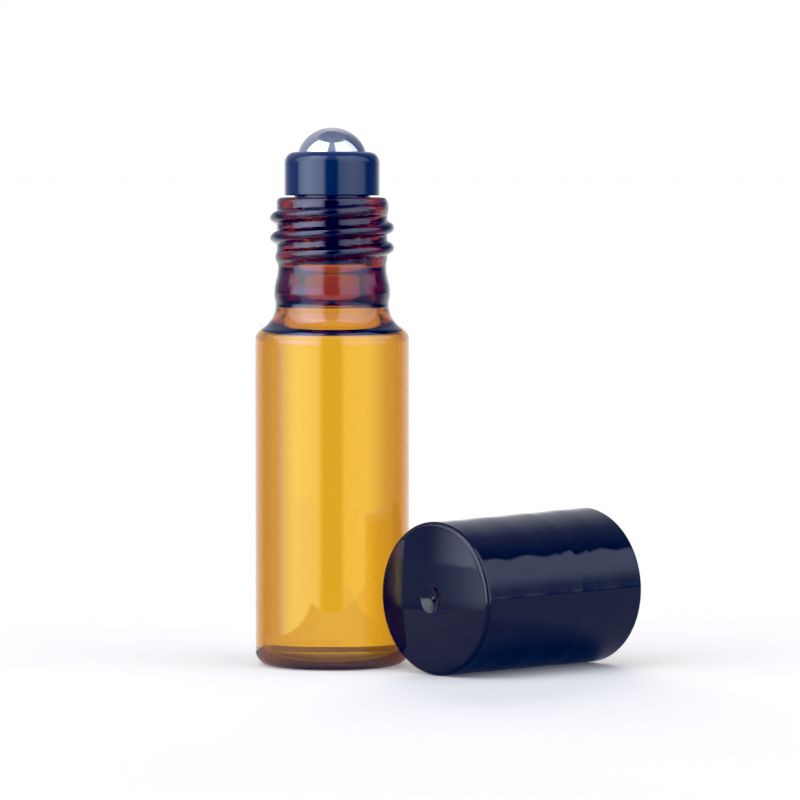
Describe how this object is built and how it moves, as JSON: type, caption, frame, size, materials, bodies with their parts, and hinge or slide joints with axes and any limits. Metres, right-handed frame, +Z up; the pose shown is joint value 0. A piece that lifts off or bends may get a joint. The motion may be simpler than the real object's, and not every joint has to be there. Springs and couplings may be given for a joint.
{
  "type": "roll on bottle",
  "caption": "Slim amber glass vial with a steel roller ball held in a black moulded housing at its mouth, and a black screw cap lying beside it.",
  "frame": {"origin": "the middle of the bottle's foot, on the surface that it stands on", "axes": "+Z up along the bottle's axis; +X along the lying cap, from its closed end towards its mouth; +Y from the cap towards the bottle"},
  "size_m": [0.0297, 0.0326, 0.0565],
  "materials": {
    "amber_glass": "clear amber glass, glossy, slightly wavy",
    "housing_plastic": "black moulded polymer, smooth satin gloss",
    "ball_steel": "stainless steel, mirror polished",
    "cap_plastic": "black moulded polymer, glossy"
  },
  "bodies": {
    "vial": {"bottle": "amber_glass", "ball_housing": "housing_plastic"},
    "ball": {"roller_ball": "ball_steel"},
    "cap": {"screw_cap": "cap_plastic"}
  },
  "joints": [
    {"name": "ball_spin", "type": "hinge", "parent": "vial", "child": "ball", "pos_m": [0, 0, 0.05261], "axis": [1, 0, 0], "continuous": true},
    {"name": "cap_twist", "type": "hinge", "parent": "vial", "child": "cap", "pos_m": [0.02152, -0.01629, 0.0082], "axis": [0.9999, 0, 0.0111], "continuous": true}
  ]
}
